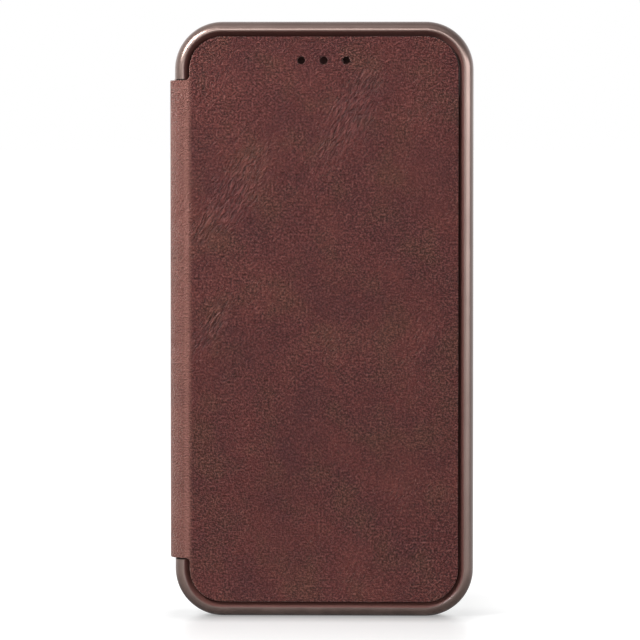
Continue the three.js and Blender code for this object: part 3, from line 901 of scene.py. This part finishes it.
def make_stitches():
    """Lock stitches along the pocket's seam, each a short thread that dips into the leather at its ends."""
    path = seam_path()
    total = sum(math.dist(a, b) for a, b in zip(path, path[1:]))
    count = round(total / STITCH["pitch"])
    pitch = total / count
    bm = bmesh.new()
    for i in range(count):
        middle, direction = point_along(path, (i + 0.5) * pitch)
        direction.normalize()
        side = Vector((-direction.y, direction.x))
        rings, steps, sides = [], 8, 8
        for k in range(steps + 1):
            t = -1 + 2 * k / steps
            radius = STITCH["radius"] * math.sqrt(max(0.02, 1 - t**4))
            centre = middle + direction * (t * STITCH["length"] / 2)
            level = POCKET_FACE - 0.02 + 0.12 * t * t
            ring = []
            for j in range(sides):
                a = 2 * math.pi * j / sides
                x, y = centre + side * (radius * math.cos(a))
                ring.append(bm.verts.new((x, y, level + 0.8 * radius * math.sin(a))))
            rings.append(ring)
        for lower, upper in zip(rings, rings[1:]):
            bridge(bm, lower, upper)
        bm.faces.new(rings[0])
        bm.faces.new(rings[-1])
    return stand_up(new_object("pocket_stitches", bm), 60)


def back_outline():
    inset = RECESS_INSET + 0.15
    corner = CORNER - inset
    start = path_s(SEAM_Z)
    right = PATH_END + (HALF_WIDTH - inset) - HEEL_X
    left = PATH_END + (-HALF_WIDTH + inset) - HEEL_X
    top = HALF_HEIGHT - inset
    upper = [(start, SPINE_HALF)]
    upper += arc(left - 0.6, SPINE_HALF + 0.6, 0.6, -90, 0, 6)
    upper += arc(left + corner, top - corner, corner, 180, 90, 14)
    upper += arc(right - corner, top - corner, corner, 90, 0, 14)
    return upper + [(s, -y) for s, y in reversed(upper)]


def make_back_hide():
    opening = [(PATH_END + x - HEEL_X, y) for x, y in camera_slot(COLLAR + 0.15)]
    bm = flat_sheet(back_outline(), [opening], LEATHER, 0.2, 3)
    return stand_up(wrap("back_hide", bm), 50)


# ---- Build -------------------------------------------------------------------------------------------

# Dark, middle, light and worn tone of the dye, then each patch of creases as (x, y, across, along, turn).
BURGUNDY = ((0.06, 0.011, 0.0115), (0.078, 0.0145, 0.013), (0.1, 0.021, 0.0165), (0.078, 0.0255, 0.014))
FOLDS = [(5.5, 48.0, 7.0, 19.0, 58), (-21.5, 30.0, 7.0, 22.0, 54), (-27.0, -2.0, 4.0, 12.0, 60)]
bend_of_hide = (SHOULDER_X, SHOULDER_X - PATH_END)
hide_leather = leather("brown_leather", *BURGUNDY, folds=FOLDS, bend=bend_of_hide)
lacquer = bronze_lacquer()

tray = make_tray()
tray.data.materials.append(lacquer)
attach(tray, "shell")
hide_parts("phone_tray")

front_hide = make_front_hide()
front_hide.data.materials.append(hide_leather)
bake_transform(front_hide)
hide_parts("cover_leather")

back_hide = make_back_hide()
back_hide.data.materials.append(hide_leather)
fold_x, fold_z = fold_line("spine_fold")
case_point(fold_x, 0, fold_z + 1.0)
case_point(fold_x, 0, fold_z - 1.0)
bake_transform(back_hide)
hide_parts("back_leather", "spine_leather")

lining = make_lining()
lining.data.materials.append(suede())
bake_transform(lining)
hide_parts("cover_lining", "spine_lining")

pocket = make_pocket()
pocket.data.materials.append(leather("pocket_leather", *BURGUNDY))
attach(pocket, "cover")
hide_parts("card_pocket")

stitches = make_stitches()
stitches.data.materials.append(sewing_thread())
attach(stitches, "cover")
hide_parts("pocket_thread")

nickel = bare_metal("magnet_nickel", (0.5, 0.48, 0.45), (0.68, 0.66, 0.62), 0.25, 0.0005)
steel = bare_metal("keeper_steel", (0.28, 0.29, 0.3), (0.45, 0.46, 0.47), 0.35, 0.0004)
plain_materials = {"cover_board": fibre_board()}
for row in ROWS:
    plain_materials[f"{row}_magnet"] = nickel
    plain_materials[f"{row}_keeper"] = steel
for node, look in plain_materials.items():
    frame["nodes"][node].data.materials.clear()
    frame["nodes"][node].data.materials.append(look)


def cut_size(points):
    """Width, length and area, in metres, of a piece cut to a flat outline in millimetres."""
    xs, ys = [x for x, _ in points], [y for _, y in points]
    return ((max(xs) - min(xs)) * MM, (max(ys) - min(ys)) * MM), abs(signed_area(points)) * MM * MM


for piece, outline, held, rests_on in (
    (front_hide, front_outline(), "folded", ["cover_board", lining]),
    (back_hide, back_outline(), "folded", [tray]),
    (lining, lining_outline(), "folded", ["cover_board"]),
    (pocket, pocket_outline(), "laid", [lining]),
):
    flat, area = cut_size(outline)
    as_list(rests_on)

# ---- Stage, light and camera -------------------------------------------------------------------------

CENTRE = case_point(0, 0, FRONT / 2)


def studio_floor():
    """A pale table top that runs out to the horizon, with a soft reflection close to the case."""
    n = material("floor")
    at = n.place()
    pale = n.noise(at, 0.05, detail=2.0)
    n.drive("Base Color", n.ramp(pale, [(0.0, 0.24), (1.0, 0.26)]))
    n.constant(Roughness=0.9, Specular_IOR_Level=0.0, Emission_Color=(1, 1, 1, 1))
    n.drive("Emission Strength", n.add("ShaderNodeLightPath").outputs["Is Camera Ray"])
    gloss = n.add("ShaderNodeBsdfGlossy", {"Color": (1, 1, 1, 1), "Roughness": 0.3})
    axes = n.axes(at)
    away, beside = n.math("ABSOLUTE", axes["Y"]), n.math("ABSOLUTE", axes["X"])
    mirror = n.sum(n.remap(away, 0.006, 0.17, 0.46, 0.0), n.remap(away, 0.006, 0.02, 0.25, 0.0))
    mirror = n.product(mirror, n.remap(beside, 0.035, 0.05, 1.0, 0.0))
    mixed = n.add("ShaderNodeMixShader", {"Fac": mirror})
    n.tree.links.new(n.shader.outputs["BSDF"], mixed.inputs[1])
    n.tree.links.new(gloss.outputs["BSDF"], mixed.inputs[2])
    n.tree.links.new(mixed.outputs["Shader"], n.tree.nodes["Material Output"].inputs["Surface"])
    bm = bmesh.new()
    bmesh.ops.create_grid(bm, x_segments=1, y_segments=1, size=12)
    floor = new_object("floor", bm)
    floor.data.materials.append(n.owner)
    floor.location = (0, 0, tray_low.z)
    floor.visible_glossy = False


def softbox(name, place, size, radiance, level=False):
    """A soft rectangular light turned to the case, or kept upright like a panel on the table."""
    light = bpy.data.lights.new(name, "AREA")
    light.shape = "RECTANGLE"
    light.size, light.size_y = size
    light.energy = radiance * math.pi * size[0] * size[1]
    obj = bpy.data.objects.new(name, light)
    obj.location = place
    towards = CENTRE - Vector(place)
    if level:
        towards.z = 0
    obj.rotation_euler = towards.to_track_quat("-Z", "Y").to_euler()
    bpy.context.scene.collection.objects.link(obj)


def around(turn, rise, distance):
    """A place by its direction from the case: turn 0 is the camera's side and 90 the right."""
    a, e = math.radians(turn), math.radians(rise)
    return CENTRE + distance * Vector((math.sin(a) * math.cos(e), -math.cos(a) * math.cos(e), math.sin(e)))


def studio_world():
    """White behind the case and for the camera, dim on the camera's side."""
    world = bpy.data.worlds.new("studio")
    bpy.context.scene.world = world
    n = Nodes(world)
    axes = n.axes(n.add("ShaderNodeTexCoord").outputs["Generated"])
    backwards = n.remap(axes["Y"], -1.0, 1.0, 0.0, 1.0)
    level = n.ramp(backwards, [(0.1, 0.08), (0.6, 0.2), (0.95, 1.0)])
    level = n.product(level, n.remap(axes["Z"], -0.3, 0.0, 0.3, 1.0))
    level = n.product(level, n.remap(axes["Z"], 0.0, 0.7, 1.0, 0.35))
    seen = n.add("ShaderNodeLightPath").outputs["Is Camera Ray"]
    background = n.tree.nodes["Background"]
    background.inputs["Color"].default_value = (1, 1, 1, 1)
    n.tree.links.new(n.math("MAXIMUM", seen, level), background.inputs["Strength"])


CAMERA_DISTANCE = 1.19
CAMERA_TURN = math.radians(1.7)
CAMERA_RISE = math.radians(2.5)
VIEW_SIZE = 0.15425  # height of the picture at the case
AIM_RIGHT = -0.00108  # where the picture's middle is, from the case's middle
AIM_UP = -0.00028


def studio_camera():
    data = bpy.data.cameras.new("camera")
    data.sensor_width = 36
    data.lens = data.sensor_width * CAMERA_DISTANCE / VIEW_SIZE
    data.clip_start = 0.05
    data.clip_end = 50
    camera = bpy.data.objects.new("camera", data)
    away = Vector((
        math.sin(CAMERA_TURN) * math.cos(CAMERA_RISE),
        -math.cos(CAMERA_TURN) * math.cos(CAMERA_RISE),
        math.sin(CAMERA_RISE),
    ))
    rotation = away.to_track_quat("Z", "Y")
    aim = CENTRE + rotation @ Vector((AIM_RIGHT, AIM_UP, 0))
    camera.location = aim + away * CAMERA_DISTANCE
    camera.rotation_euler = rotation.to_euler()
    bpy.context.scene.collection.objects.link(camera)
    bpy.context.scene.camera = camera


PANEL_HEIGHT = 0.45
panel_z = tray_low.z + 0.01 + PANEL_HEIGHT / 2

studio_floor()
studio_world()
studio_camera()
softbox("key", around(-50, 38, 0.45), (0.18, 0.18), 33)
softbox("right", (1.0, -0.6, panel_z), (1.9, PANEL_HEIGHT), 4.2, level=True)
softbox("brow", around(0, 14, 1.5), (1.0, 0.3), 6.0)
softbox("top", around(0, 80, 1.0), (1.2, 0.7), 0.3)
bpy.context.scene.view_settings.view_transform = "Standard"
